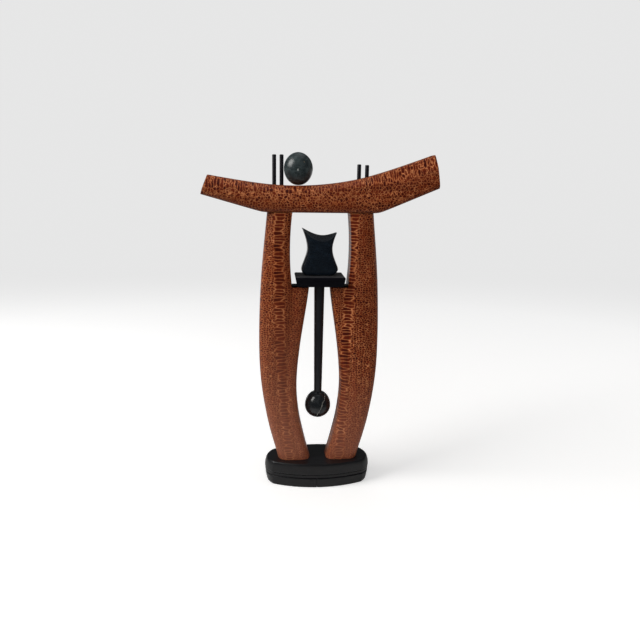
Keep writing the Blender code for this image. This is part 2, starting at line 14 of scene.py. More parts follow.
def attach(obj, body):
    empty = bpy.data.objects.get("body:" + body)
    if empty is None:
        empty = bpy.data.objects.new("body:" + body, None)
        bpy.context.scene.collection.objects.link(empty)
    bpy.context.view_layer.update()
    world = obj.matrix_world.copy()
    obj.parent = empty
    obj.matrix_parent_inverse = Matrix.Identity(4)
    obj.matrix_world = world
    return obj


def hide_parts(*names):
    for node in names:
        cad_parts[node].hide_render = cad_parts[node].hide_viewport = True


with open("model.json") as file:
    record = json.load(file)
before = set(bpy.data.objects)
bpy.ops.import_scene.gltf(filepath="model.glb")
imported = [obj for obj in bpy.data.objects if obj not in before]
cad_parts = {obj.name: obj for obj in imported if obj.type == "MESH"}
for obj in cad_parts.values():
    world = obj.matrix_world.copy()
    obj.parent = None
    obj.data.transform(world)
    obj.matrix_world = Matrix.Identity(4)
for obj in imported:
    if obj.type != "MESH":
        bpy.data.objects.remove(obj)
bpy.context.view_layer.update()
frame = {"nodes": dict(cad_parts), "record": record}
MM = 0.001
GAP = 0.3

# ---------------------------------------------------------------- the object's own dimensions, from the CAD

BASE_CORNER_X, BASE_CORNER_Y = 78.5, 27.0
BASE_END_X, BASE_FRONT_Y = 91.6, 43.4
SEAM_X, SEAM = -2.5, 0.8
PLINTH_LOW, PLINTH_TOP = 0.4, 17.0
BOARD_LOW, BOARD_TOP = 17.3, 23.0
PLATE_LOW, PLATE_TOP = 23.3, 42.9

# The leg's lines: (height, distance from the middle) or, for the depths, (height, half depth).
LEG_LOW, LEG_TOP, LEDGE_Z = 43.2, 465.0, 344.2
OUTER_LINE = ((43.0, 68.8), (111.0, 86.3), (184.0, 97.5), (255.0, 100.2), (356.0, 96.5), (466.0, 86.0))
INNER_LINE = (
    (43.0, 13.5),
    (81.0, 23.5),
    (126.0, 32.9),
    (177.0, 37.0),
    (241.0, 32.0),
    (344.0, 17.2),
    (466.0, 8.0),
)
CREASE_LINE = ((43.0, 30.0), (130.0, 50.0), (200.0, 53.0), (258.0, 47.0), (344.0, 44.0), (466.0, 44.0))
NOTCH_MID_Z, NOTCH_MID_X, NOTCH_RADIUS = 405.0, 49.3, 520.0
COLUMN_DEPTH = ((43.0, 23.0), (150.0, 26.0), (300.0, 24.5), (466.0, 20.5))
STEP_DEPTH = ((43.0, 23.0), (150.0, 24.0), (250.0, 20.5), (344.0, 18.0), (466.0, 18.0))

BEAM_LOW = 465.3
BEAM_HALF_DEPTH, BEAM_FLAT_HALF = 25.0, 13.0
HOLLOW_X, HOLLOW_Z, HOLLOW_RADIUS = -43.3, 506.9, 478.0
HOLLOW_FROM, HOLLOW_TO = -84.0, 61.0
LEFT_TIP, LEFT_TIP_SLOPE = (-181.8, 522.3), -0.165
RIGHT_TIP, RIGHT_TIP_SLOPE = (187.2, 559.9), 0.375
SOFFIT_LEFT, SOFFIT_RIGHT = -92.3, 92.7
SOFFIT_LEFT_RISE, SOFFIT_RIGHT_RISE = 0.278, 0.421
LEFT_END_TOP, LEFT_END_LOW = (-178.4, 521.3), (-188.5, 492.5)
RIGHT_END_TOP, RIGHT_END_LOW = (180.3, 558.5), (188.4, 507.0)
# How far the beam's slanted face comes down from its top, along the beam.
CHAMFER = (
    (-190.0, 18.0),
    (-150.0, 12.0),
    (-100.0, 9.5),
    (0.0, 9.0),
    (60.0, 10.5),
    (100.0, 18.0),
    (135.0, 23.0),
    (190.0, 19.0),
)

POST_RADIUS = 3.175
POSTS = (  # name, x, top
    ("post_left_outer", -74.4, 554.3),
    ("post_left_inner", -62.8, 554.4),
    ("post_right_inner", 61.0, 541.3),
    ("post_right_outer", 73.7, 540.4),
)

STONE_HALF = (23.0, 22.0, 25.6)
STONE_X = -36.2
BOB_Z, BOB_RADIUS, BOB_BELOW, BOB_ABOVE = 135.6, 22.0, 21.3, 26.0

SHELF_LOW, SHELF_TOP = 347.2, 363.3
PAD_LOW, PAD_TOP, PAD_HALF_Y = 344.5, 346.9, 11.0
SHELF_HALF_X, SHELF_HALF_Y, SHELF_TAPER = 40.5, 30.0, 3.0
ROD_TOP, ROD_TOP_RADIUS = 359.2, 8.8
ROD_LOW, ROD_LOW_RADIUS = 152.0, 6.4
SADDLE_X, SADDLE_HALF_DEPTH = -0.3, 13.0
SADDLE_DIP, SADDLE_DIP_ACROSS, SADDLE_SWEEP = 64.2, 0.21, 8.6
SADDLE_LIP = 8.6
SADDLE_LINE = (  # height above the shelf, half width on the left, half width on the right
    (0.0, 24.0, 23.4),
    (3.5, 27.6, 27.2),
    (9.0, 30.1, 30.4),
    (14.0, 29.3, 29.4),
    (24.0, 25.6, 25.4),
    (34.0, 22.2, 22.0),
    (42.0, 20.8, 20.8),
    (50.0, 21.2, 21.3),
    (60.0, 23.4, 23.9),
    (69.0, 26.5, 27.3),
    (77.5, 29.8, 29.8),
)

# ---------------------------------------------------------------- mesh helpers


def spline(points, t):
    """A smooth curve through (t, value) points: cubic pieces with slopes from the neighbours."""
    t = min(max(t, points[0][0]), points[-1][0])
    k = 0
    while k < len(points) - 2 and t > points[k + 1][0]:
        k += 1

    def slope(n):
        low, high = max(n - 1, 0), min(n + 1, len(points) - 1)
        return (points[high][1] - points[low][1]) / (points[high][0] - points[low][0])

    (t0, v0), (t1, v1) = points[k], points[k + 1]
    span = t1 - t0
    s = (t - t0) / span
    a = 2 * s**3 - 3 * s**2 + 1
    b = s**3 - 2 * s**2 + s
    c = -2 * s**3 + 3 * s**2
    d = s**3 - s**2
    return a * v0 + b * span * slope(k) + c * v1 + d * span * slope(k + 1)


def make(name, bm, mat, smooth_angle=35.0):
    """A bmesh in millimetres becomes an object in metres at the frame's origin."""
    bmesh.ops.scale(bm, verts=bm.verts, vec=(MM, MM, MM))
    bmesh.ops.recalc_face_normals(bm, faces=bm.faces)
    mesh = bpy.data.meshes.new(name)
    bm.to_mesh(mesh)
    bm.free()
    obj = bpy.data.objects.new(name, mesh)
    bpy.context.scene.collection.objects.link(obj)
    if mat:
        mesh.materials.append(mat)
    mesh.shade_smooth()
    mesh.set_sharp_from_angle(angle=math.radians(smooth_angle))
    return obj


def loft(rings, closed_ends=True):
    """A body through rings that all have the same number of points."""
    bm = bmesh.new()
    loops = [[bm.verts.new(p) for p in ring] for ring in rings]
    count = len(rings[0])
    for low, high in zip(loops, loops[1:]):
        for i in range(count):
            j = (i + 1) % count
            bm.faces.new((low[i], low[j], high[j], high[i]))
    if closed_ends:
        bm.faces.new(list(reversed(loops[0])))
        bm.faces.new(loops[-1])
    return bm


def turned(profile, x=0.0, y=0.0, segments=64):
    """Turns (radius, z) points about the upright line at (x, y). A radius of 0 closes an end."""
    bm = bmesh.new()
    rows = []
    for radius, z in profile:
        if radius == 0:
            rows.append([bm.verts.new((x, y, z))])
            continue
        angles = [2 * math.pi * i / segments for i in range(segments)]
        circle = [(x + radius * math.cos(a), y + radius * math.sin(a), z) for a in angles]
        rows.append([bm.verts.new(point) for point in circle])
    for low, high in zip(rows, rows[1:]):
        for i in range(segments):
            j = (i + 1) % segments
            corners = [low[0]] if len(low) == 1 else [low[i], low[j]]
            corners += [high[0]] if len(high) == 1 else [high[j], high[i]]
            bm.faces.new(corners)
    for row in (rows[0], rows[-1]):
        if len(row) > 1:
            bm.faces.new(row)
    return bm


def arc(centre, radius, start, end, steps):
    """Points on a circle of a profile: (radius, z) pairs, with angles in degrees."""
    found = []
    for i in range(steps + 1):
        a = math.radians(start + (end - start) * i / steps)
        found.append((centre[0] + radius * math.cos(a), centre[1] + radius * math.sin(a)))
    return found


def cut(obj, bm):
    """Takes the solid in bm out of obj, for good."""
    tool = make(obj.name + "_tool", bm, None)
    boolean = obj.modifiers.new("cut", "BOOLEAN")
    boolean.operation = "DIFFERENCE"
    boolean.object = tool
    bake(obj)
    bpy.data.objects.remove(tool)


def bake(obj):
    """Replaces the mesh by what its modifiers make of it."""
    bpy.context.view_layer.update()
    graph = bpy.context.evaluated_depsgraph_get()
    mesh = bpy.data.meshes.new_from_object(obj.evaluated_get(graph))
    obj.modifiers.clear()
    old, obj.data = obj.data, mesh
    bpy.data.meshes.remove(old)


def round_edges(obj, width, segments=3, angle=32.0):
    """Rounds the sharp edges by width millimetres."""
    bevel = obj.modifiers.new("round_edges", "BEVEL")
    bevel.width = width * MM
    bevel.segments = segments
    bevel.limit_method = "ANGLE"
    bevel.angle_limit = math.radians(angle)
    bevel.use_clamp_overlap = True
    bevel.harden_normals = False
    bake(obj)
    obj.data.shade_smooth()
    obj.data.set_sharp_from_angle(angle=math.radians(50.0))
    normals = obj.modifiers.new("even_shading", "WEIGHTED_NORMAL")
    normals.keep_sharp = True
    normals.weight = 60


def show(obj, body, slot, *nodes):
    """Rides on a body and stands for CAD nodes, which it hides. slot is not used."""
    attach(obj, body)
    if nodes:
        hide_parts(*nodes)
    return obj


# ---------------------------------------------------------------- material helpers


class Nodes:
    """Short calls that add shader nodes to one material or world."""

    def __init__(self, owner):
        owner.use_nodes = True
        self.tree = owner.node_tree
        self.tree.nodes.clear()

    def add(self, kind, **settings):
        node = self.tree.nodes.new("ShaderNode" + kind)
        for key, value in settings.items():
            setattr(node, key, value)
        return node

    def link(self, out, into):
        self.tree.links.new(out, into)

    def put(self, node, **values):
        """Sets sockets by name; a value that is a socket is linked. Underscores stand for spaces."""
        for key, value in values.items():
            socket = node.inputs[key.replace("_", " ")]
            if isinstance(value, bpy.types.NodeSocket):
                self.link(value, socket)
            else:
                socket.default_value = value
        return node

    def math(self, operation, a, b=None):
        node = self.add("Math", operation=operation)
        for socket, value in zip(node.inputs, (a, b)):
            if isinstance(value, bpy.types.NodeSocket):
                self.link(value, socket)
            elif value is not None:
                socket.default_value = value
        return node.outputs[0]

    def vector_math(self, operation, a, b):
        node = self.add("VectorMath", operation=operation)
        for socket, value in zip(node.inputs, (a, b)):
            if isinstance(value, bpy.types.NodeSocket):
                self.link(value, socket)
            else:
                socket.default_value = value
        return node.outputs["Vector"]

    def mix(self, factor, a, b, blend="MIX"):
        node = self.add("Mix", data_type="RGBA", blend_type=blend, clamp_factor=True)
        pairs = ((node.inputs[0], factor), (node.inputs[6], a), (node.inputs[7], b))
        for socket, value in pairs:
            if isinstance(value, bpy.types.NodeSocket):
                self.link(value, socket)
            elif isinstance(value, tuple):
                socket.default_value = (*value, 1.0)
            else:
                socket.default_value = value
        return node.outputs[2]

    def blend(self, factor, first, second):
        """A number that runs from first to second."""
        step = self.math("SUBTRACT", second, first)
        total = self.math("MULTIPLY_ADD", step, factor)
        self.link(first, total.node.inputs[2])
        return total

    def ramp(self, factor, *stops, smooth=False):
        """A colour ramp. Each stop is (position, grey) or (position, (r, g, b))."""
        node = self.add("ValToRGB")
        ramp = node.color_ramp
        ramp.interpolation = "EASE" if smooth else "LINEAR"
        while len(ramp.elements) < len(stops):
            ramp.elements.new(0.5)
        for element, (position, colour) in zip(ramp.elements, stops):
            element.position = position
            element.color = (*colour, 1.0) if isinstance(colour, tuple) else (colour, colour, colour, 1.0)
        self.link(factor, node.inputs["Fac"])
        return node.outputs["Color"]

    def range(self, value, low, high, to_low=0.0, to_high=1.0, smooth=True):
        node = self.add("MapRange", interpolation_type="SMOOTHSTEP" if smooth else "LINEAR", clamp=True)
        self.put(node, Value=value, From_Min=low, From_Max=high, To_Min=to_low, To_Max=to_high)
        return node.outputs["Result"]

    def mapped(self, scale=(1, 1, 1), rotation=(0, 0, 0), location=(0, 0, 0)):
        """Object coordinates in millimetres, turned to the grain, then divided into cells by scale."""
        coordinates = self.add("TexCoord").outputs["Object"]
        turn = self.add("Mapping", vector_type="POINT")
        to_mm = (1 / MM, 1 / MM, 1 / MM)
        self.put(turn, Vector=coordinates, Location=location, Rotation=rotation, Scale=to_mm)
        return self.vector_math("MULTIPLY", turn.outputs["Vector"], tuple(scale))

    def noise(self, vector, scale=1.0, detail=3.0, roughness=0.5, distortion=0.0):
        node = self.add("TexNoise", noise_dimensions="3D")
        self.put(node, Vector=vector, Scale=scale, Detail=detail, Roughness=roughness, Distortion=distortion)
        return node

    def surface(self, **values):
        shader = self.add("BsdfPrincipled")
        self.put(shader, **values)
        out = self.add("OutputMaterial")
        self.link(shader.outputs["BSDF"], out.inputs["Surface"])

    def bump(self, height, strength, distance_mm):
        node = self.add("Bump")
        self.put(node, Height=height, Strength=strength, Distance=distance_mm * MM)
        return node.outputs["Normal"]


def new_material(name):
    made = bpy.data.materials.new(name)
    return made, Nodes(made)


# ---------------------------------------------------------------- materials


# A leg's band of wide bars starts at height BAND_TOP and runs down by BAND_RUN, in mm. It stops between
# BAND_INSIDE and BAND_OUTSIDE from its line, or up to BAND_RAGGED nearer to it. Its bars lie in cells of
# RUNG_WIDTH by RUNG_PITCH, and RUNG_START moves those cells to where the photograph shows bars.
BAND_TOP, BAND_RUN = 450.0, 390.0
BAND_INSIDE, BAND_OUTSIDE, BAND_RAGGED = 14.5, 17.0, 14.0
RUNG_WIDTH, RUNG_PITCH = 17.0, 5.4
RUNG_START = (0.35, 0.3, 0.0)


def ray_cells(n, cells, randomness):
    """One cell for each ray: the distance to its edge, and two random numbers that tint it."""
    lens = n.add("TexVoronoi", voronoi_dimensions="3D", feature="F1")
    n.put(lens, Vector=cells, Scale=1.0, Randomness=randomness)
    edge = n.add("TexVoronoi", voronoi_dimensions="3D", feature="DISTANCE_TO_EDGE")
    n.put(edge, Vector=cells, Scale=1.0, Randomness=randomness)
    split = n.add("SeparateColor")
    n.link(lens.outputs["Color"], split.inputs["Color"])
    return edge.outputs["Distance"], split.outputs["Red"], split.outputs["Green"]


def distance_across(n, axes, band):
    """How far a point lies from the band's line X(Z), which leaves the leg's top and bends by a cube."""
    start, turn_in, bend = band
    down = n.math("MULTIPLY_ADD", axes.outputs["Z"], -1.0 / BAND_RUN)
    down.node.inputs[2].default_value = BAND_TOP / BAND_RUN
    centre = n.math("ADD", n.math("MULTIPLY", down, turn_in), start)
    centre = n.math("ADD", centre, n.math("MULTIPLY", n.math("POWER", down, 3.0), bend))
    return n.math("SUBTRACT", axes.outputs["X"], centre)


def wood_wander(n, place, frequency, reach, *noise):
    """A random shift of up to half of reach (mm) each way, which changes slowly over the wood."""
    drift = n.noise(n.vector_math("MULTIPLY", place, frequency), 1.0, *noise).outputs["Color"]
    return n.vector_math("MULTIPLY", n.vector_math("SUBTRACT", drift, (0.5, 0.5, 0.5)), reach)


def leopardwood(name, turn, flecks, band=None, painted_floor_light=None, shift=(0.0, 0.0, 0.0)):
    """Wood with large rays: each is a dark cell with a bright rim, cut across wherever the surface ends it.

    turn rotates the object so that its grain lies along Z. flecks are a ray's sizes along the turned
    axes. band is the line where the surface lies flat on the rays, and a ladder of wide bars runs along
    it. painted_floor_light gives the heights between which the figure fades into a lighter, greyer brown, a
    painted light from the floor, and how far it fades.
    """
    made, n = new_material(name)
    place = n.mapped(rotation=turn, location=shift)
    axes = n.add("SeparateXYZ")
    n.link(place, axes.inputs[0])
    stray = wood_wander(n, place, (0.06, 0.1, 0.06), (4.0, 1.3, 4.0), 2.0)
    bent = n.vector_math("ADD", place, stray)
    curled = n.vector_math("ADD", bent, wood_wander(n, place, (0.30, 0.12, 0.30), (3.0, 0.0, 2.2), 2.0, 0.5))

    patchy = n.noise(n.vector_math("MULTIPLY", bent, (0.10, 0.30, 0.20)), 1.0, 2.0, 0.6).outputs["Fac"]
    cells = n.vector_math("MULTIPLY", curled, tuple(1.0 / size for size in flecks))
    reach, tone, tint = ray_cells(n, cells, 0.85)
    line = n.range(reach, 0.015, 0.125, 1.0, 0.0)
    line = n.math("MULTIPLY", line, n.range(patchy, 0.34, 0.56, 0.55, 0.85))
    heart = n.range(reach, 0.10, 0.27)
    if band:
        across = distance_across(n, axes, band)
        ladder = n.add("CombineXYZ")
        n.link(across, ladder.inputs["X"])
        n.link(axes.outputs["Z"], ladder.inputs["Z"])
        rungs = n.vector_math("ADD", ladder.outputs[0], n.vector_math("MULTIPLY", stray, (0.9, 0.0, 0.7)))
        rungs = n.vector_math("MULTIPLY", rungs, (1 / RUNG_WIDTH, 0.0, 1 / RUNG_PITCH))
        rungs = n.vector_math("ADD", rungs, RUNG_START)
        wide, wide_tone, wide_tint = ray_cells(n, rungs, 0.62)
        off = n.math("ADD", n.math("ABSOLUTE", across), n.math("MULTIPLY", patchy, BAND_RAGGED))
        on_band = n.range(off, BAND_INSIDE, BAND_OUTSIDE, 1.0, 0.0)
        line = n.blend(on_band, line, n.range(wide, 0.03, 0.14, 0.78, 0.0))
        heart = n.blend(on_band, heart, n.range(wide, 0.10, 0.30))
        tone = n.blend(on_band, tone, wide_tone)
        tint = n.blend(on_band, tint, wide_tint)

    grain = n.noise(n.vector_math("MULTIPLY", bent, (0.35, 0.5, 0.012)), 1.0, 4.0, 0.6).outputs["Fac"]
    pores = n.noise(n.vector_math("MULTIPLY", place, (2.2, 2.6, 0.16)), 1.0, 2.0, 0.6).outputs["Fac"]
    broad = n.noise(n.vector_math("MULTIPLY", place, (0.03, 0.035, 0.010)), 1.0, 3.0).outputs["Fac"]

    darkest, dark, red = (0.046, 0.0030, 0.0010), (0.090, 0.008, 0.0020), (0.17, 0.020, 0.004)
    cell = n.ramp(tone, (0.0, darkest), (0.5, dark), (1.0, red))
    body = n.mix(heart, (0.18, 0.022, 0.004), cell)
    bright = n.ramp(tint, (0.0, (0.52, 0.145, 0.044)), (1.0, (0.92, 0.36, 0.145)))
    figure = n.mix(line, body, bright)
    figure = n.mix(1.0, figure, n.range(grain, 0.35, 0.7, 0.72, 1.12), "MULTIPLY")
    figure = n.mix(n.range(pores, 0.60, 0.72, 0.0, 0.4), figure, (0.045, 0.009, 0.004))
    figure = n.mix(n.range(broad, 0.46, 0.70, 0.0, 0.3), figure, (0.20, 0.030, 0.007))
    if painted_floor_light:
        low, high, most = painted_floor_light
        # Painted floor light: towards the foot the figure fades into a lighter, greyer brown.
        figure = n.mix(n.range(axes.outputs["Z"], low, high, most, 0.0), figure, (0.34, 0.122, 0.070))

    height = n.math("ADD", n.math("MULTIPLY", pores, -0.5), n.math("MULTIPLY", line, 0.25))
    n.surface(
        Base_Color=figure,
        Roughness=n.range(heart, 0.0, 1.0, 0.44, 0.36, smooth=False),
        Normal=n.bump(height, 0.25, 0.12),
        Specular_IOR_Level=0.20,
        Coat_Weight=0.03,
        Coat_Roughness=0.25,
    )
    return made


def black_wood(
    name,
    turn=(0.0, 0.0, 0.0),
    roughness=0.33,
    colour=(0.005, 0.005, 0.006),
    coat=0.1,
    top_sheen=0.0,
    specular=0.32,
):
    """Ebonised wood under satin lacquer: open grain, cloudy gloss, random dust specks, and a painted sheen on
    what faces up.
    """
    made, n = new_material(name)
    place = n.mapped(rotation=turn)
    grain = n.noise(n.vector_math("MULTIPLY", place, (1.4, 1.4, 0.06)), 1.0, 4.0, 0.65).outputs["Fac"]
    cloud = n.noise(n.vector_math("MULTIPLY", place, (0.07, 0.07, 0.05)), 1.0, 3.0).outputs["Fac"]
    dust_and_sheen_noise = n.noise(place, 0.9, 2.0, 0.7).outputs["Fac"]
    dark = n.mix(n.range(grain, 0.4, 0.7), colour, tuple(c * 1.9 + 0.002 for c in colour))
    dark = n.mix(n.range(dust_and_sheen_noise, 0.66, 0.78, 0.0, 0.35), dark, (0.045, 0.045, 0.05))
    facing = n.add("SeparateXYZ")
    n.link(n.add("NewGeometry").outputs["Normal"], facing.inputs[0])
    # Painted sheen: faces that point up are lightened towards pale grey, in place of the reflection a top
    # face shows.
    painted_sheen_mask = n.range(facing.outputs["Z"], 0.75, 0.98, 0.0, top_sheen)
    dark = n.mix(n.math("MULTIPLY", painted_sheen_mask, n.range(dust_and_sheen_noise, 0.3, 0.6, 0.6, 1.0)), dark, (0.10, 0.10, 0.105))
    rough = n.range(cloud, 0.3, 0.7, roughness - 0.05, roughness + 0.09)
    n.surface(
        Base_Color=dark,
        Roughness=rough,
        Normal=n.bump(grain, 0.18, 0.08),
        Specular_IOR_Level=specular,
        Coat_Weight=coat,
        Coat_Roughness=0.2,
    )
    return made


def dark_stone(name, colour, pale, flecks_and_highlight=(), vein=None, roughness=0.16, mottle=0.35):
    """Polished serpentine-like stone: clouded body, specks, optional pale spots, each a fleck of the stone or
    a painted highlight as the call gives it, and one vein.
    """
    made, n = new_material(name)
    place = n.mapped()
    cloud = n.noise(n.vector_math("MULTIPLY", place, (0.09, 0.09, 0.12)), 1.0, 6.0, 0.62, 0.6).outputs["Fac"]
    specks = n.noise(place, 0.85, 3.0, 0.7).outputs["Fac"]
    body = n.mix(n.range(cloud, 0.42, 0.68, 0.0, mottle), colour, pale)
    between = tuple(0.5 * (a + b) for a, b in zip(colour, pale))
    body = n.mix(n.range(specks, 0.62, 0.72, 0.0, 0.4), body, between)
    body = n.mix(n.range(specks, 0.40, 0.30, 0.0, 0.6), body, tuple(0.35 * c for c in colour))
    fray = n.noise(place, 0.35, 4.0, 0.7).outputs["Fac"]
    for at, radius, tint in flecks_and_highlight:
        away = n.add("VectorMath", operation="DISTANCE")
        n.link(place, away.inputs[0])
        away.inputs[1].default_value = at
        reach = n.math("ADD", away.outputs["Value"], n.math("MULTIPLY", fray, radius * 2.2))
        body = n.mix(n.range(reach, radius * 2.0, radius * 1.0, 0.0, 0.85), body, tint)
    if vein:
        direction, offset, width, tint = vein
        dot = n.add("VectorMath", operation="DOT_PRODUCT")
        n.link(place, dot.inputs[0])
        dot.inputs[1].default_value = direction
        wobble = n.noise(place, 0.10, 4.0, 0.6).outputs["Fac"]
        across = n.math("SUBTRACT", dot.outputs["Value"], offset)
        across = n.math("ADD", across, n.math("MULTIPLY", n.math("SUBTRACT", wobble, 0.5), 9.0))
        thin = n.math("ABSOLUTE", across)
        strength = n.range(fray, 0.35, 0.6, 0.25, 0.95)
        body = n.mix(n.math("MULTIPLY", n.range(thin, width, 0.0), strength), body, tint)
    rough = n.range(specks, 0.3, 0.7, roughness, roughness + 0.12)
    n.surface(Base_Color=body, Roughness=rough, Normal=n.bump(specks, 0.06, 0.05))
    return made


def plain(name, colour, roughness, metallic=0.0, grain_scale=0.8, contrast=0.25, stretch=(1, 1, 1), bump=0.1):
    """Small fittings: a fine uneven surface in one colour."""
    made, n = new_material(name)
    place = n.mapped(scale=stretch)
    fine = n.noise(place, grain_scale, 4.0, 0.6).outputs["Fac"]
    low, high = tuple(c * (1 - contrast) for c in colour), tuple(min(1.0, c * (1 + contrast)) for c in colour)
    n.surface(
        Base_Color=n.mix(n.range(fine, 0.3, 0.7), low, high),
        Roughness=n.range(fine, 0.3, 0.7, roughness - 0.06, roughness + 0.06),
        Metallic=metallic,
        Normal=n.bump(fine, bump, 0.1),
    )
    return made


QUARTER = math.radians(90.0)
UPRIGHT = (0.0, 0.0, 0.0)
LEG_FLECKS = (4.4, 38.0, 3.3)
# The legs' figure lightens towards the foot: painted light from the floor.
wood_left = leopardwood(
    "leopardwood_leg_left", UPRIGHT, LEG_FLECKS, band=(-67.0, 0.0, 18.0), painted_floor_light=(60.0, 380.0, 0.58)
)
wood_right = leopardwood(
    "leopardwood_leg_right", UPRIGHT, LEG_FLECKS, band=(52.0, -14.0, 0.0), painted_floor_light=(60.0, 250.0, 0.45)
)
wood_beam = leopardwood(
    "leopardwood_beam", (math.radians(-53.0), -QUARTER, 0.0), (2.4, 30.0, 4.5), shift=(5.0, 11.0, 23.0)
)
black_base = black_wood("black_base", (0.0, QUARTER, 0.0))
black_shelf = black_wood(
    "black_shelf",
    (0.0, QUARTER, 0.0),
    roughness=0.5,
    colour=(0.0015, 0.0015, 0.0035),
    coat=0.0,
    top_sheen=0.5,
    # Painted sheen on the shelf's upward faces.
    specular=0.12,
)
black_rod = black_wood("black_rod", roughness=0.40, colour=(0.006, 0.007, 0.010), coat=0.4)
black_post = black_wood("black_post", roughness=0.42, colour=(0.006, 0.006, 0.009), coat=0.0)
stone_green = dark_stone(
    "stone_green_black",
    (0.020, 0.030, 0.033),
    (0.095, 0.126, 0.130),
    flecks_and_highlight=(
        # The first spot, pale grey at the stone's front middle, is a painted highlight; the second, gold, is
        # a fleck in the stone.
        ((-38.0, -22.0, 531.0), 2.8, (0.55, 0.58, 0.56)),
        ((-28.0, -18.0, 543.0), 1.8, (0.46, 0.38, 0.26)),
    ),
    mottle=0.6,
    roughness=0.24,
)
stone_blue = dark_stone(
    "stone_blue_black", (0.004, 0.008, 0.014), (0.012, 0.022, 0.036), mottle=0.5, roughness=0.22
)
stone_veined = dark_stone(
    "stone_veined",
    (0.009, 0.011, 0.013),
    (0.04, 0.046, 0.05),
    vein=((0.91, 0.05, -0.41), -53.5, 0.9, (0.45, 0.44, 0.40)),
)
felt = plain("black_felt", (0.02, 0.02, 0.02), 0.92, grain_scale=2.0, contrast=0.5, bump=0.6)
steel = plain("steel", (0.55, 0.55, 0.56), 0.3, 1.0)
brass = plain("brass", (0.68, 0.48, 0.2), 0.32, 1.0)
birch = plain("birch", (0.55, 0.38, 0.22), 0.6, stretch=(1.0, 1.0, 0.1), grain_scale=0.6)

# ---------------------------------------------------------------- base


def barrel_outline(end_in, front_in, steps=48):
    """The base's plan: a rectangle whose four sides bow outwards. end_in and front_in draw the sides in."""
    corner_x, corner_y = BASE_CORNER_X - 0.5 * end_in, BASE_CORNER_Y - front_in
    end_x, front_y = BASE_END_X - end_in, BASE_FRONT_Y - front_in
    points = []

    def side(start, end, bulge):
        dx, dy = end[0] - start[0], end[1] - start[1]
        chord = math.hypot(dx, dy)
        radius = (chord**2 / 4 + bulge**2) / (2 * bulge)
        nx, ny = dy / chord, -dx / chord
        mid = ((start[0] + end[0]) / 2, (start[1] + end[1]) / 2)
        centre = (mid[0] - nx * (radius - bulge), mid[1] - ny * (radius - bulge))
        half = math.asin(chord / 2 / radius)
        base = math.atan2(ny, nx)
        for i in range(steps):
            a = base - half + 2 * half * i / steps
            points.append((centre[0] + radius * math.cos(a), centre[1] + radius * math.sin(a)))

    side((-corner_x, -corner_y), (corner_x, -corner_y), front_y - corner_y)
    side((corner_x, -corner_y), (corner_x, corner_y), end_x - corner_x)
    side((corner_x, corner_y), (-corner_x, corner_y), front_y - corner_y)
    side((-corner_x, corner_y), (-corner_x, -corner_y), end_x - corner_x)
    return points


def layer(points):
    """A board of the base, with its edge drawn smoothly through (z, end_in, front_in) points."""
    knots = [points[0]]
    for low, high in zip(points, points[1:]):
        steps = max(1, round((high[0] - low[0]) / 1.2))
        for i in range(1, steps + 1):
            z = low[0] + (high[0] - low[0]) * i / steps
            end_in = spline([(p[0], p[1]) for p in points], z)
            front_in = spline([(p[0], p[2]) for p in points], z)
            knots.append((z, end_in, front_in))
    return loft([[(x, y, z) for x, y in barrel_outline(max(0.0, e), max(0.0, f))] for z, e, f in knots])


def build_base():
    plinth_edge = (
        (PLINTH_LOW, 4.6, 1.8),
        (PLINTH_LOW + 0.8, 3.8, 1.1),
        (9.0, 1.9, 0.8),
        (PLINTH_TOP - 0.8, 0.9, 0.7),
        (PLINTH_TOP, 1.6, 1.5),
    )
    for name, side in (("left", -1), ("right", 1)):
        half = make("plinth_half_" + name, layer(plinth_edge), black_base, 25.0)
        box = bmesh.new()
        bmesh.ops.create_cube(box, size=1.0)
        bmesh.ops.scale(box, verts=box.verts, vec=(120.0, 120.0, 60.0))
        bmesh.ops.translate(box, verts=box.verts, vec=(SEAM_X + side * (0.15 - 60.0), 0.0, 10.0))
        cut(half, box)
        round_edges(half, SEAM, 2, 50.0)
        show(half, "frame", "black_wood", "plinth_" + name)
    strip = bmesh.new()
    bmesh.ops.create_cube(strip, size=1.0)
    bmesh.ops.scale(strip, verts=strip.verts, vec=(SEAM - 0.2, 2 * (BASE_FRONT_Y - 4.5), 14.0))
    bmesh.ops.translate(strip, verts=strip.verts, vec=(SEAM_X, 0.0, 9.2))
    show(make("plinth_seam_strip", strip, black_base), "frame", "black_wood")

    board_edge = (
        (BOARD_LOW, 1.7, 2.2),
        (BOARD_LOW + 0.7, 0.9, 1.5),
        (BOARD_TOP - 0.7, 0.5, 1.5),
        (BOARD_TOP, 1.3, 2.2),
    )
    show(make("base_thin_board", layer(board_edge), black_base, 25.0), "frame", "black_wood", "base_board")

    plate_edge = (
        (PLATE_LOW, 1.0, 1.0),
        (PLATE_LOW + 0.9, 0.2, 0.2),
        (28.0, 0.0, 0.0),
        (33.0, 0.5, 0.0),
        (38.0, 1.8, 0.2),
        (41.0, 3.2, 0.7),
        (42.3, 4.3, 1.6),
        (PLATE_TOP, 5.6, 2.8),
    )
    plate = make("base_top_plate", layer(plate_edge), black_base, 25.0)
    round_edges(plate, 0.7, 3, 12.0)
    show(plate, "frame", "black_wood", "base_plate")


# ---------------------------------------------------------------- legs


def superellipse(u, power):
    """Height of a rounded box's outline at u, from -1 to 1; a larger power makes it squarer."""
    return max(0.0, 1.0 - abs(u) ** power) ** (1.0 / power)


def notch_x(z):
    """The hollowed face above the ledge: its distance from the middle."""
    return NOTCH_MID_X - NOTCH_RADIUS + math.sqrt(NOTCH_RADIUS**2 - (z - NOTCH_MID_Z) ** 2)


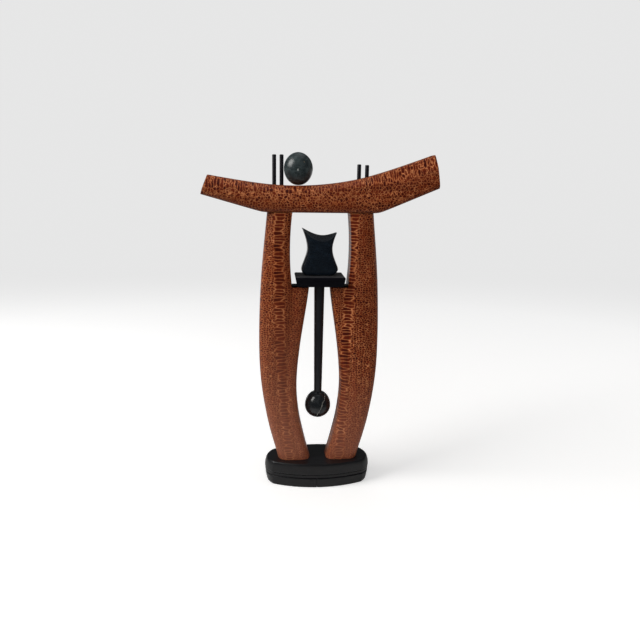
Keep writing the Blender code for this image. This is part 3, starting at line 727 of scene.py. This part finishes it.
def leg_half_depth(x, z):
    """How far the leg's front stands from its middle plane, at a distance x from the middle, height z."""
    inner, outer = spline(INNER_LINE, z), spline(OUTER_LINE, z)
    crease = spline(CREASE_LINE, z) if z < LEDGE_Z else notch_x(z) - 0.5
    middle = crease + 0.5 * (outer - crease)
    if x >= middle:
        column = superellipse((x - middle) / (outer - middle), 2.5)
    else:
        column = superellipse((middle - x) / (middle - crease), 3.2)
    column *= spline(COLUMN_DEPTH, z)
    step_outer = crease + 0.45 * (outer - crease)
    step_middle = inner + 0.55 * (step_outer - inner)
    if x >= step_middle:
        step = superellipse((x - step_middle) / (step_outer - step_middle), 2.5)
    else:
        step = superellipse((step_middle - x) / (step_middle - inner), 3.2)
    step *= spline(STEP_DEPTH, z)
    return (column**8 + step**8) ** 0.125


def leg_ring(z, side, points):
    """One level section of a leg, closer-spaced towards its two thin edges."""
    inner, outer = spline(INNER_LINE, z), spline(OUTER_LINE, z)
    front, back = [], []
    for i in range(points + 1):
        share = 0.5 - 0.5 * math.cos(math.pi * i / points)
        x = inner + share * (outer - inner)
        depth = leg_half_depth(x, z)
        front.append((side * x, -depth if 0 < i < points else 0.0, z))
        if 0 < i < points:
            back.append((side * x, depth, z))
    return front + list(reversed(back))


# How far the notch's face falls back (mm) at each distance from the middle plane: its rounded arris.
NOTCH_ARRIS = ((14.6, 0.0), (15.8, 0.3), (16.9, 0.9), (17.7, 1.7), (18.4, 2.9), (19.0, 4.4), (40.0, 4.4))


def build_legs():
    rings, points = ((110, 44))
    for name, side, wood in (("left", -1, wood_left), ("right", 1, wood_right)):
        heights = [LEG_LOW + (LEG_TOP - LEG_LOW) * i / rings for i in range(rings + 1)]
        leg = make("leg_body_" + name, loft([leg_ring(z, side, points) for z in heights]), wood, 40.0)
        rise = [LEDGE_Z + (LEG_TOP + 4.0 - LEDGE_Z) * i / 30 for i in range(31)]
        tool = []
        for y, back in [(-y, back) for y, back in reversed(NOTCH_ARRIS)] + list(NOTCH_ARRIS):
            fade = [min(1.0, max(0.0, (LEG_TOP - z) / 12.0), (z - LEDGE_Z) / 5.0) for z in rise]
            ring = [(side * (notch_x(z) + back * part), y, z) for z, part in zip(rise, fade)]
            tool.append(ring + [(-side * 10.0, y, rise[-1]), (-side * 10.0, y, rise[0])])
        cut(leg, loft(tool))
        round_edges(leg, 1.2)
        show(leg, "frame", "leopardwood", "leg_" + name)

        low_x, high_x = sorted((side * (spline(INNER_LINE, LEDGE_Z) + 1.5), side * (notch_x(LEDGE_Z) - GAP)))
        pad = bmesh.new()
        bmesh.ops.create_cube(pad, size=1.0)
        bmesh.ops.scale(pad, verts=pad.verts, vec=(high_x - low_x, 2 * PAD_HALF_Y, PAD_TOP - PAD_LOW))
        bmesh.ops.translate(pad, verts=pad.verts, vec=((low_x + high_x) / 2, 0.0, (PAD_LOW + PAD_TOP) / 2))
        rest = make("ledge_rest_" + name, pad, black_shelf)
        round_edges(rest, 0.4)
        show(rest, "frame", "black_wood", "ledge_pad_" + name)


# ---------------------------------------------------------------- crossbeam


def bezier(start, start_slope, end, end_slope, x):
    """The height at x of the curve that leaves start and reaches end on the two slopes."""
    knee_x = (end[1] - start[1] + start_slope * start[0] - end_slope * end[0]) / (start_slope - end_slope)
    knee_z = start[1] + start_slope * (knee_x - start[0])
    a = start[0] - 2 * knee_x + end[0]
    b = 2 * (knee_x - start[0])
    c = start[0] - x
    t = (-b + math.copysign(math.sqrt(b * b - 4 * a * c), b)) / (2 * a)
    return (1 - t) ** 2 * start[1] + 2 * t * (1 - t) * knee_z + t * t * end[1]


def hollow(x):
    """Height and slope of the round hollow that the stone rolls in."""
    drop = math.sqrt(HOLLOW_RADIUS**2 - (x - HOLLOW_X) ** 2)
    return HOLLOW_Z + HOLLOW_RADIUS - drop, (x - HOLLOW_X) / drop


def beam_top(x):
    if x < HOLLOW_FROM:
        z, slope = hollow(HOLLOW_FROM)
        if x < LEFT_TIP[0]:
            return LEFT_TIP[1] + LEFT_TIP_SLOPE * (x - LEFT_TIP[0])
        return bezier((HOLLOW_FROM, z), slope, LEFT_TIP, LEFT_TIP_SLOPE, x)
    if x > HOLLOW_TO:
        z, slope = hollow(HOLLOW_TO)
        if x > RIGHT_TIP[0]:
            return RIGHT_TIP[1] + RIGHT_TIP_SLOPE * (x - RIGHT_TIP[0])
        return bezier((HOLLOW_TO, z), slope, RIGHT_TIP, RIGHT_TIP_SLOPE, x)
    return hollow(x)[0]


def beam_low(x):
    rise = 0.0
    for knee, slope in ((SOFFIT_LEFT - x, SOFFIT_LEFT_RISE), (x - SOFFIT_RIGHT, SOFFIT_RIGHT_RISE)):
        rise += slope * 0.5 * (knee + math.sqrt(knee * knee + 36.0)) if knee > -40.0 else 0.0
    return BEAM_LOW + max(0.0, rise - 0.1)


def beam_ring(x):
    top, low = beam_top(x), beam_low(x)
    chamfer = spline(CHAMFER, x)
    wide, flat = BEAM_HALF_DEPTH, BEAM_FLAT_HALF
    shoulder = top - chamfer
    waist = (shoulder + low) / 2
    half = [
        (0.0, top),
        (flat - 2.0, top),
        (flat + 1.5, top - 0.12 * chamfer),
        (wide - 2.5, shoulder + 0.14 * chamfer),
        (wide - 0.6, shoulder - 1.5),
        (wide, waist + 2.0),
        (wide - 0.5, low + 8.0),
        (wide - 2.2, low + 3.0),
        (wide - 6.0, low),
        (0.0, low),
    ]
    front = [(x, -y, z) for y, z in half]
    back = [(x, y, z) for y, z in reversed(half[1:-1])]
    return front + back


def slice_end(bm, top, low, side):
    """Cuts the beam off along the slanted line from top to low."""
    run, fall = low[0] - top[0], low[1] - top[1]
    normal = Vector((-fall, 0.0, run)) * side
    if normal.x * side < 0:
        normal = -normal
    everything = bm.verts[:] + bm.edges[:] + bm.faces[:]
    at = (top[0], 0.0, top[1])
    bmesh.ops.bisect_plane(bm, geom=everything, plane_co=at, plane_no=normal, clear_outer=True)
    bmesh.ops.holes_fill(bm, edges=[e for e in bm.edges if e.is_boundary])


def build_beam():
    stations = [-200.0 + 400.0 * i / 160 for i in range(161)]
    bm = loft([beam_ring(x) for x in stations])
    slice_end(bm, LEFT_END_TOP, LEFT_END_LOW, -1)
    slice_end(bm, RIGHT_END_TOP, RIGHT_END_LOW, 1)
    beam = make("crossbeam_body", bm, wood_beam, 40.0)
    round_edges(beam, 1.0, 3, 50.0)
    show(beam, "frame", "leopardwood", "crossbeam")
    for name, x, top in POSTS:
        floor = beam_top(x) - 2.0
        tip = arc((POST_RADIUS - 1.3, top - 1.3), 1.3, 0.0, 90.0, 5)
        profile = [(POST_RADIUS, floor)] + tip + [(0, top)]
        post = make(name + "_body", turned(profile, x, segments=40), black_post)
        show(post, "frame", "black_wood", name)


# ---------------------------------------------------------------- stones and pendulum


def build_rolling_stone():
    """An egg-shaped stone, slightly uneven, that rests in the hollow."""
    bm = bmesh.new()
    bmesh.ops.create_icosphere(bm, subdivisions=6, radius=1.0)
    for v in bm.verts:
        x, y, z = v.co
        lump = 1.0 - 0.012 * (0.5 + 0.5 * math.sin(3.1 * x + 1.7 * z + 0.6) * math.cos(2.3 * z - 1.9 * y))
        v.co = Vector((x * STONE_HALF[0], y * STONE_HALF[1], z * STONE_HALF[2])) * lump
    centre = (STONE_X, 0.0, beam_top(STONE_X) + GAP + STONE_HALF[2])
    bmesh.ops.translate(bm, verts=bm.verts, vec=centre)
    show(make("rolling_stone_body", bm, stone_green, 80.0), "stone", "dark_stone", "rolling_stone")


def rod_radius(z):
    share = (z - ROD_LOW) / (ROD_TOP - ROD_LOW)
    return ROD_LOW_RADIUS + share * (ROD_TOP_RADIUS - ROD_LOW_RADIUS)


def build_pendulum():
    low = ROD_LOW + 0.2
    profile = [(0, low), (ROD_LOW_RADIUS - 0.6, low), (rod_radius(low + 0.6), low + 0.6)]
    profile += [(rod_radius(z), z) for z in (200.0, 250.0, 300.0, 350.0)]
    profile += [(rod_radius(ROD_TOP) - 0.1, ROD_TOP - 1.5), (ROD_TOP_RADIUS - 1.6, ROD_TOP), (0, ROD_TOP)]
    rod = make("pendulum_rod_body", turned(profile, segments=64), black_rod)
    show(rod, "pendulum", "black_wood", "pendulum_rod")

    points = [(0, BOB_Z - BOB_BELOW)]
    for i in range(1, 33):
        a = math.radians(90.0 * i / 32)
        points.append((BOB_RADIUS * math.sin(a), BOB_Z - BOB_BELOW * math.cos(a)))
    socket = ROD_LOW_RADIUS + GAP
    for i in range(1, 32):
        a = math.radians(90.0 * i / 32)
        radius, z = BOB_RADIUS * math.cos(a) ** 0.94, BOB_Z + BOB_ABOVE * math.sin(a)
        if radius < socket + 0.6:
            break
        points.append((radius, z))
    rim = points[-1][1] + 0.5
    points += [(socket + 0.3, rim), (socket, rim - 0.4), (socket, ROD_LOW), (0, ROD_LOW)]
    bob = make("pendulum_bob_body", turned(points, segments=96), stone_veined, 50.0)
    show(bob, "pendulum", "veined_stone", "pendulum_bob")


def saddle_half_width(height, side):
    column = 1 if side < 0 else 2
    return spline([(row[0], row[column]) for row in SADDLE_LINE], height)


def saddle_ring(share, steps):
    """A section of the saddle stone at this share of its height, which varies across it like its top."""
    ring = []
    for face in (-1, 1):
        for i in range(steps + 1):
            across = -face * (1.0 - 2.0 * i / steps)
            top = SADDLE_DIP + SADDLE_SWEEP * (across - SADDLE_DIP_ACROSS) ** 2
            if face < 0:
                top -= SADDLE_LIP * (1.0 - across**6)
            height = share * top
            half = saddle_half_width(height, -1 if across < 0 else 1)
            taper = 1.0 if height > 8.0 else 0.80 + 0.20 * math.sqrt(1.0 - (1.0 - height / 8.0) ** 2)
            depth = SADDLE_HALF_DEPTH * taper * (0.34 + 0.66 * superellipse(across, 3.4))
            ring.append((SADDLE_X + across * half, face * depth, SHELF_TOP + GAP + height))
    return ring


def build_saddle_stone():
    steps = 40
    shares = [(i / 60.0) for i in range(61)]
    rings = [saddle_ring(share, steps) for share in shares]
    bm = loft(rings, closed_ends=False)
    bm.verts.ensure_lookup_table()
    count = len(rings[0])
    half = count // 2
    for start in (0, count * (len(rings) - 1)):
        row = [bm.verts[start + i] for i in range(count)]
        for i in range(half - 1):
            bm.faces.new((row[i], row[i + 1], row[count - 2 - i], row[count - 1 - i]))
    stone = make("saddle_stone_body", bm, stone_blue, 40.0)
    round_edges(stone, 0.8, 3, 40.0)
    show(stone, "frame", "blue_stone", "saddle_stone")


# ---------------------------------------------------------------- shelf


def build_shelf():
    def ring(z, grow):
        x, y = SHELF_HALF_X + grow, SHELF_HALF_Y + grow
        return [(-x, -y, z), (x, -y, z), (x, y, z), (-x, y, z)]

    edge = [ring(SHELF_LOW, -SHELF_TAPER), ring(SHELF_TOP - 1.6, 0.0), ring(SHELF_TOP, -1.6)]
    shelf = make("shelf_body", loft(edge), black_shelf)
    socket = ROD_TOP_RADIUS + 1.1
    cut(shelf, turned([(socket, SHELF_LOW - 5.0), (socket, 360.4)], segments=48))
    round_edges(shelf, 0.5, 2, 25.0)
    show(shelf, "frame", "black_wood", "shelf")


# ---------------------------------------------------------------- CAD nodes that stay

build_base()
build_legs()
build_beam()
build_rolling_stone()
build_pendulum()
build_shelf()
build_saddle_stone()

KEPT = {"felt": felt, "steel": steel, "brass": brass, "birch": birch, "black_wood": black_base}
slots = {row["node"]: row["material_slot"] for row in frame["record"]["subparts"]}
for node, obj in frame["nodes"].items():
    finish = KEPT.get(slots[node], black_base)
    obj.data.materials.clear()
    obj.data.materials.append(finish)

# ---------------------------------------------------------------- stage, light, camera

# The floor, as the photograph shows it: a pale pool round the object that turns into an even far grey.
# The _FROM and _TO pairs are distances in mm over which one turns into the other.
FAR_GREY = 0.795
GLOW_NEAR, GLOW_FAR = 0.44, 0.63
GLOW_FROM, GLOW_TO = 100.0, 1600.0
POOL_BRIGHT, POOL_DIM = 0.85, 0.15
POOL_FROM, POOL_TO = 150.0, 700.0
BEHIND_FROM, BEHIND_TO = 450.0, 2450.0
AROUND_FROM, AROUND_TO = 1500.0, 3600.0


def build_stage():
    made, n = new_material("pale_floor")
    place = n.mapped(scale=(1.0, 1.0, 0.0))
    axes = n.add("SeparateXYZ")
    n.link(place, axes.inputs[0])
    away = n.add("VectorMath", operation="LENGTH")
    n.link(place, away.inputs[0])
    seen_directly = n.add("LightPath").outputs["Is Camera Ray"]
    distance = away.outputs["Value"]
    around = n.math("MULTIPLY", n.range(distance, AROUND_FROM, AROUND_TO), seen_directly)
    far = n.math("MAXIMUM", n.range(axes.outputs["Y"], BEHIND_FROM, BEHIND_TO), around)
    glow_strength = n.range(distance, GLOW_FROM, GLOW_TO, GLOW_NEAR, GLOW_FAR, smooth=False)
    pool = n.range(distance, POOL_FROM, POOL_TO, POOL_BRIGHT, POOL_DIM)
    seen, lit = n.add("BsdfPrincipled"), n.add("BsdfPrincipled")
    n.put(seen, Base_Color=(0.82, 0.82, 0.82, 1.0), Roughness=0.9, Specular_IOR_Level=0.0)
    n.put(seen, Emission_Color=(1.0, 1.0, 1.0, 1.0), Emission_Strength=glow_strength)
    n.put(lit, Base_Color=pool, Roughness=0.9, Specular_IOR_Level=0.0)
    near = n.add("MixShader")
    n.link(seen_directly, near.inputs[0])
    n.link(lit.outputs[0], near.inputs[1])
    n.link(seen.outputs[0], near.inputs[2])
    glow = n.add("Emission")
    n.put(glow, Color=(FAR_GREY, FAR_GREY, FAR_GREY, 1.0), Strength=1.0)
    blend = n.add("MixShader")
    n.link(far, blend.inputs[0])
    n.link(near.outputs[0], blend.inputs[1])
    n.link(glow.outputs[0], blend.inputs[2])
    n.link(blend.outputs[0], n.add("OutputMaterial").inputs["Surface"])
    bm = bmesh.new()
    radii = (0.3, 0.8, 2.0, 5.0, 12.0, 60.0)
    rows = [[bm.verts.new((0, 0, 0))]]
    sides = 64
    for r in radii:
        angles = [math.tau * i / sides for i in range(sides)]
        rows.append([bm.verts.new((r * math.cos(a), r * math.sin(a), 0.0)) for a in angles])
    for low, high in zip(rows, rows[1:]):
        for i in range(sides):
            j = (i + 1) % sides
            bm.faces.new([low[0], high[i], high[j]] if len(low) == 1 else [low[i], high[i], high[j], low[j]])
    mesh = bpy.data.meshes.new("floor")
    bm.to_mesh(mesh)
    bm.free()
    floor = bpy.data.objects.new("floor", mesh)
    mesh.materials.append(made)
    bpy.context.scene.collection.objects.link(floor)


def area_light(name, place, target, size, power, colour=(1.0, 1.0, 1.0)):
    data = bpy.data.lights.new(name, "AREA")
    data.shape = "RECTANGLE"
    data.size, data.size_y = size
    data.energy = power
    data.color = colour
    light = bpy.data.objects.new(name, data)
    light.location = place
    light.rotation_euler = (Vector(target) - Vector(place)).to_track_quat("-Z", "Y").to_euler()
    bpy.context.scene.collection.objects.link(light)
    return light


def build_light():
    world = bpy.data.worlds.new("studio")
    bpy.context.scene.world = world
    n = Nodes(world)
    path = n.add("LightPath")
    seen, lit = n.add("Background"), n.add("Background")
    n.put(seen, Color=(FAR_GREY, FAR_GREY, FAR_GREY, 1.0), Strength=1.0)
    n.put(lit, Color=(0.94, 0.97, 1.0, 1.0), Strength=0.08)
    blend = n.add("MixShader")
    n.link(path.outputs["Is Camera Ray"], blend.inputs[0])
    n.link(lit.outputs[0], blend.inputs[1])
    n.link(seen.outputs[0], blend.inputs[2])
    out = n.add("OutputWorld")
    n.link(blend.outputs[0], out.inputs["Surface"])

    area_light("key_left", (-1.7, -0.45, 1.55), (0.0, 0.0, 0.25), (1.2, 1.2), 36.0, (1.0, 0.985, 0.96))
    front = area_light("front", (-0.3, -2.2, 1.4), (0.0, 0.0, 0.3), (2.0, 1.4), 14.0, (1.0, 0.97, 0.93))
    front.visible_glossy = False
    right = area_light("right", (1.9, -0.7, 1.1), (0.0, 0.0, 0.3), (1.2, 1.2), 7.0, (1.0, 0.97, 0.95))
    right.visible_glossy = False
    area_light("top", (0.1, 0.3, 2.4), (0.0, 0.0, 0.3), (1.8, 1.8), 5.5)
    back = area_light("back", (0.1, 2.3, 1.3), (0.0, 0.0, 0.4), (2.0, 1.6), 5.0)
    back.visible_glossy = False


# The camera's place in metres, its turn to the right, its dip and its lean in degrees, and its lens in mm.
EYE = (-0.0803, -0.9798, 0.5160)
EYE_TURN, EYE_DIP, EYE_LEAN = 4.8, 13.13, 0.9
EYE_LENS = 33.75


def build_camera():
    """Eye height is about the beam's top; the view turns a little to the right and leans slightly."""
    turn, dip, lean = math.radians(EYE_TURN), math.radians(EYE_DIP), math.radians(EYE_LEAN)
    ahead = Vector((math.sin(turn) * math.cos(dip), math.cos(turn) * math.cos(dip), -math.sin(dip)))
    right = Vector((math.cos(turn), -math.sin(turn), 0.0))
    down = ahead.cross(right)
    x_axis = right * math.cos(lean) - down * math.sin(lean)
    y_axis = -(right * math.sin(lean) + down * math.cos(lean))
    data = bpy.data.cameras.new("camera")
    data.lens, data.sensor_width = EYE_LENS, 36.0
    data.clip_start, data.clip_end = 0.05, 200.0
    camera = bpy.data.objects.new("camera", data)
    camera.matrix_world = Matrix(
        (
            (x_axis.x, y_axis.x, -ahead.x, EYE[0]),
            (x_axis.y, y_axis.y, -ahead.y, EYE[1]),
            (x_axis.z, y_axis.z, -ahead.z, EYE[2]),
            (0.0, 0.0, 0.0, 1.0),
        )
    )
    bpy.context.scene.collection.objects.link(camera)
    bpy.context.scene.camera = camera


build_stage()
build_light()
build_camera()
bpy.context.scene.view_settings.view_transform = "Standard"
